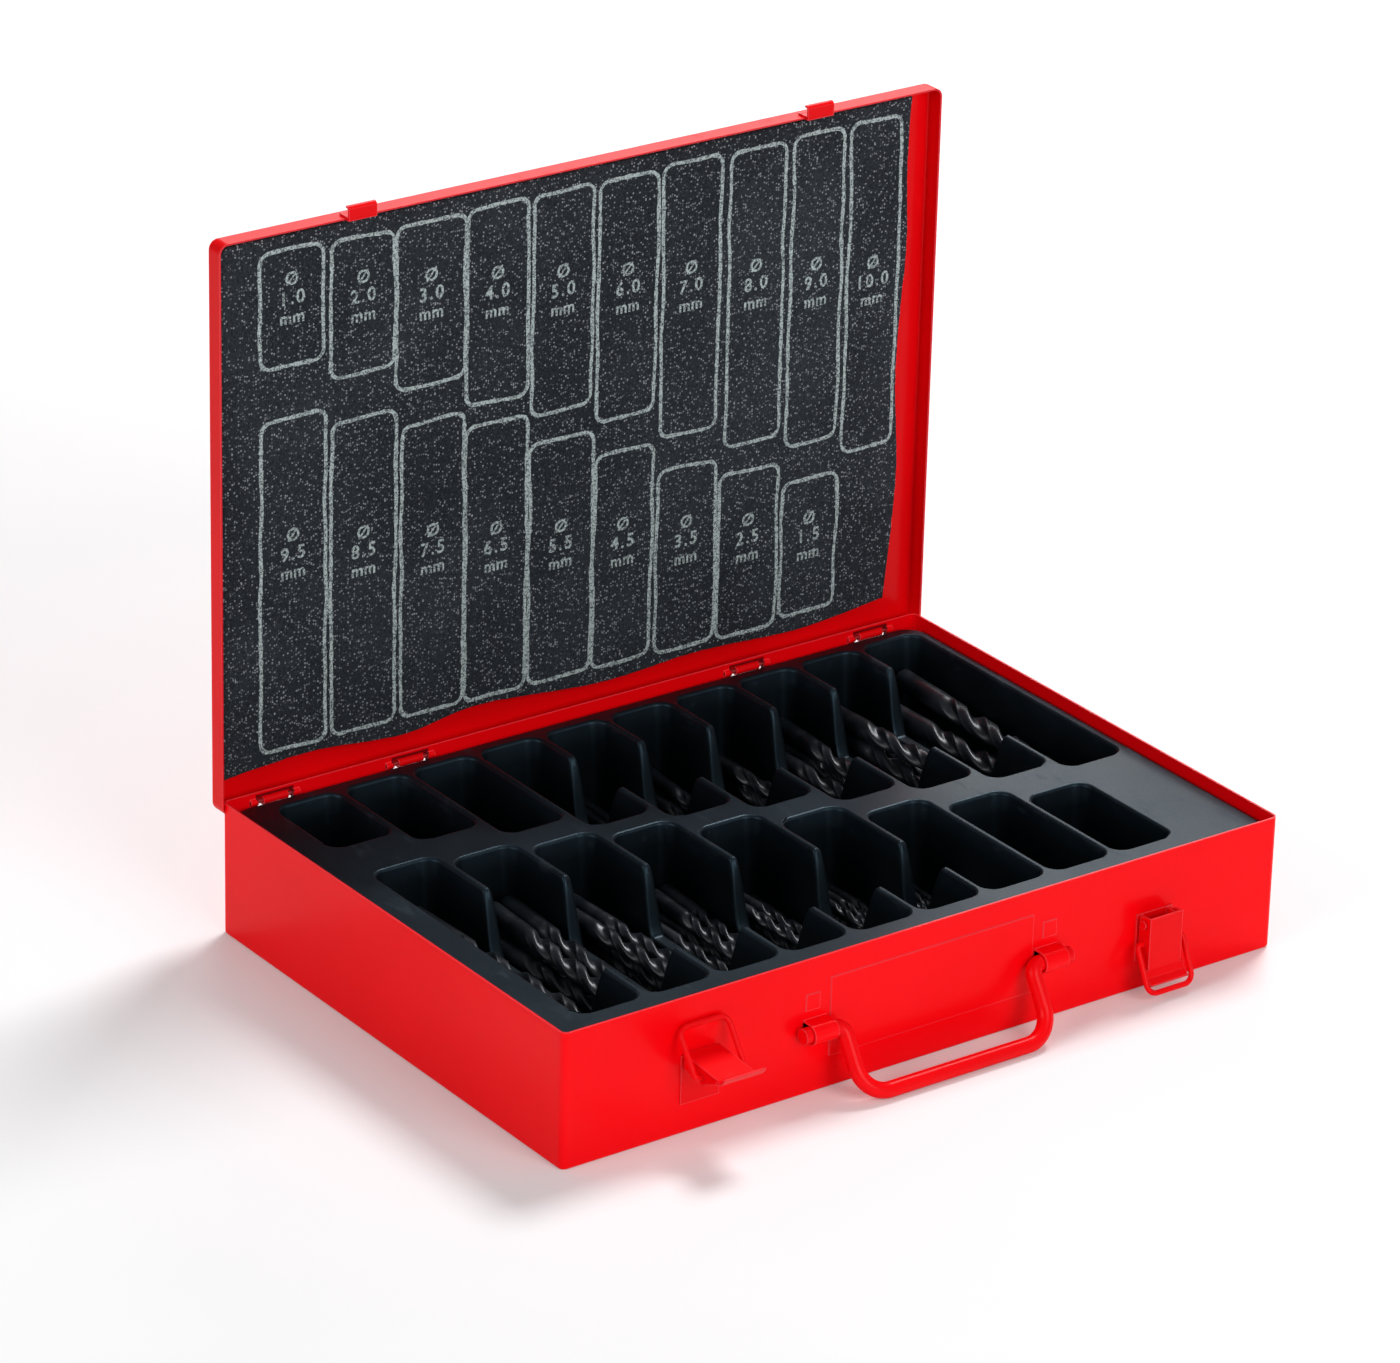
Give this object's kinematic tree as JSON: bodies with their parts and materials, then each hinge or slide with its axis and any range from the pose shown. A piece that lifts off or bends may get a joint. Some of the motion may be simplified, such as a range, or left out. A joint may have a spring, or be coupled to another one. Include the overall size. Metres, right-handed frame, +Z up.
{
  "type": "drill bit case",
  "caption": "Shallow folded sheet-metal case with a hinged lid, foam-lined above and fitted with a moulded tray of tapered pockets holding twist drills, carried by a bail.",
  "frame": {"origin": "centre of the case's flat underside", "axes": "+X to the object's right, -Y out of the front wall that carries the handle, +Z up"},
  "size_m": [0.3728, 0.294, 0.3201],
  "materials": {
    "red_case": "gloss paint",
    "red_lid": "gloss paint",
    "red_fittings": "gloss paint",
    "pin_steel": "painted over",
    "tray_plastic": "satin",
    "foam": "open foam with printed outlines",
    "bit_steel": "black oxide"
  },
  "bodies": {
    "case": {"base_box": "red_case", "hinge_pins": "pin_steel", "latch_left_bracket": "red_fittings", "latch_left_pin": "red_fittings", "latch_right_bracket": "red_fittings", "latch_right_pin": "red_fittings", "tray_insert": "tray_plastic", "drill_bits_2_5": "bit_steel", "drill_bits_3_5": "bit_steel", "drill_bits_4_0": "bit_steel", "drill_bits_4_5": "bit_steel", "drill_bits_5_0": "bit_steel", "drill_bits_5_5": "bit_steel", "drill_bits_6_0": "bit_steel", "drill_bits_6_5": "bit_steel", "drill_bits_7_0": "bit_steel", "drill_bits_7_5": "bit_steel", "drill_bits_8_0": "bit_steel", "drill_bits_8_5": "bit_steel", "drill_bits_9_0": "bit_steel", "drill_bits_9_5": "bit_steel", "drill_bits_10_0": "bit_steel"},
    "lid": {"lid_shell": "red_lid", "lid_catch_left": "red_fittings", "lid_catch_right": "red_fittings", "lid_foam_pad": "foam"},
    "handle": {"handle_bail": "red_fittings"},
    "left_lever": {"latch_left_lever": "red_fittings"},
    "left_wire": {"latch_left_wire": "red_fittings"},
    "right_lever": {"latch_right_lever": "red_fittings"},
    "right_wire": {"latch_right_wire": "red_fittings"}
  },
  "joints": [
    {"name": "lid_hinge", "type": "hinge", "parent": "case", "child": "lid", "pos_m": [0, 0.1276, 0.0575], "axis": [1, 0, 0], "range_deg": [0, 90]},
    {"name": "handle_swing", "type": "hinge", "parent": "case", "child": "handle", "pos_m": [0, -0.1324, 0.03], "axis": [1, 0, 0], "range_deg": [-145, 0]},
    {"name": "left_lever_pivot", "type": "hinge", "parent": "case", "child": "left_lever", "pos_m": [-0.118, -0.133, 0.033], "axis": [1, 0, 0], "range_deg": [0, 85]},
    {"name": "left_wire_pivot", "type": "hinge", "parent": "left_lever", "child": "left_wire", "pos_m": [-0.118, -0.14197, 0.03222], "axis": [1, 0, 0], "range_deg": [0, 105]},
    {"name": "right_lever_pivot", "type": "hinge", "parent": "case", "child": "right_lever", "pos_m": [0.118, -0.133, 0.033], "axis": [1, 0, 0], "range_deg": [-85, 0]},
    {"name": "right_wire_pivot", "type": "hinge", "parent": "right_lever", "child": "right_wire", "pos_m": [0.118, -0.133, 0.024], "axis": [1, 0, 0], "range_deg": [-105, 0]}
  ]
}
